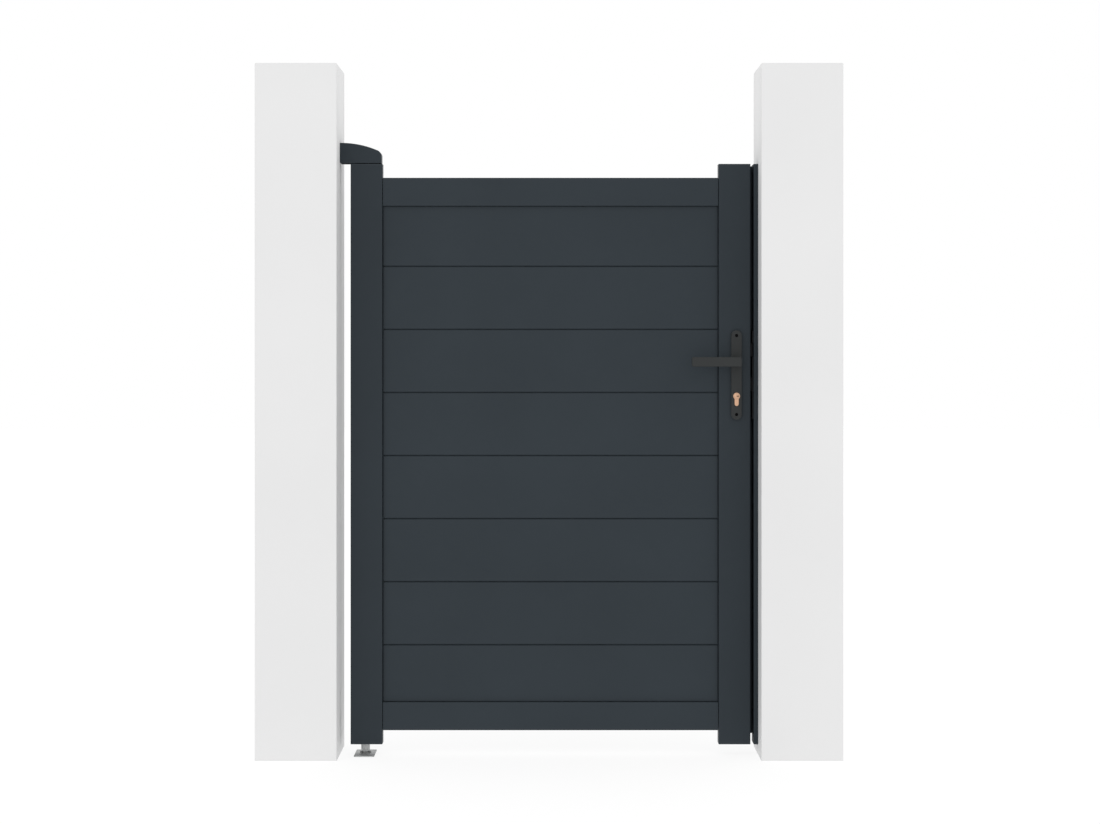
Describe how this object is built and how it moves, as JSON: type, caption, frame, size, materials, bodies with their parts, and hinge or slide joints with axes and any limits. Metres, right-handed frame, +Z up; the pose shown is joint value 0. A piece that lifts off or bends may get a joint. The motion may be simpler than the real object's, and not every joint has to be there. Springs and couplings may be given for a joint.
{
  "type": "pedestrian gate",
  "caption": "Aluminium pedestrian gate: framed leaf of horizontal boards on pivots between rendered pillars, with a lever handle, latch and stop profile.",
  "frame": {"origin": "centre of the hinge pillar's base, on the ground", "axes": "+X towards the latch pillar, +Z up, -Y towards the side that the leaf opens to"},
  "size_m": [1.434, 0.2, 1.7],
  "materials": {
    "pillar_render": "fine smooth render, painted off-white",
    "anthracite_coat": "matt anthracite powder coat with a fine texture",
    "dark_plastic": "matt moulded plastic in the colour of the leaf",
    "galvanised_steel": "galvanised, dull silver grey",
    "black_rubber": "matt black rubber",
    "dark_steel": "dark blackened steel, satin",
    "black_handle_coat": "satin black powder coat",
    "cylinder_brass": "satin brass, warm"
  },
  "bodies": {
    "posts": {"hinge_pillar": "pillar_render", "latch_pillar": "pillar_render", "upper_bracket_body": "galvanised_steel", "upper_bracket_cover": "anthracite_coat", "upper_pivot_pin": "dark_steel", "ground_pivot_plate": "galvanised_steel", "ground_pivot_post": "galvanised_steel", "ground_pivot_collar": "galvanised_steel", "stop_profile": "anthracite_coat", "stop_cap_bottom": "dark_plastic", "stop_cap_top": "dark_plastic", "stop_seal": "black_rubber", "strike_plate": "dark_steel"},
    "leaf": {"hinge_stile": "anthracite_coat", "latch_stile": "anthracite_coat", "hinge_stile_top_bush": "dark_plastic", "hinge_stile_bottom_bush": "dark_plastic", "latch_stile_top_cap": "dark_plastic", "latch_stile_bottom_cap": "dark_plastic", "top_rail": "anthracite_coat", "bottom_rail": "anthracite_coat", "lock_faceplate": "dark_steel", "lock_cylinder": "cylinder_brass", "dead_bolt": "dark_steel", "handle_plate_front": "black_handle_coat", "handle_plate_back": "black_handle_coat", "board_1": "anthracite_coat", "board_2": "anthracite_coat", "board_3": "anthracite_coat", "board_4": "anthracite_coat", "board_5": "anthracite_coat", "board_6": "anthracite_coat", "board_7": "anthracite_coat", "board_8": "anthracite_coat"},
    "lever": {"lever_front": "black_handle_coat", "lever_back": "black_handle_coat", "handle_spindle": "dark_steel"},
    "latch": {"latch_bolt": "dark_steel"}
  },
  "joints": [
    {"name": "gate_swing", "type": "hinge", "parent": "posts", "child": "leaf", "pos_m": [0.162, 0, 0], "axis": [0, 0, -1], "range_deg": [0, 105]},
    {"name": "lever_turn", "type": "hinge", "parent": "leaf", "child": "lever", "pos_m": [1.08, 0, 0.9715], "axis": [0, -1, 0], "range_deg": [0, 40], "stiffness_Nm_per_rad": 1.2, "springref_deg": -28.65},
    {"name": "latch_slide", "type": "slide", "parent": "leaf", "child": "latch", "axis": [-1, 0, 0], "range_m": [0, 0.0066]}
  ],
  "couplings": [
    {"joint": "latch_slide", "follows": "lever_turn", "m_per_rad": 0.0093106}
  ]
}
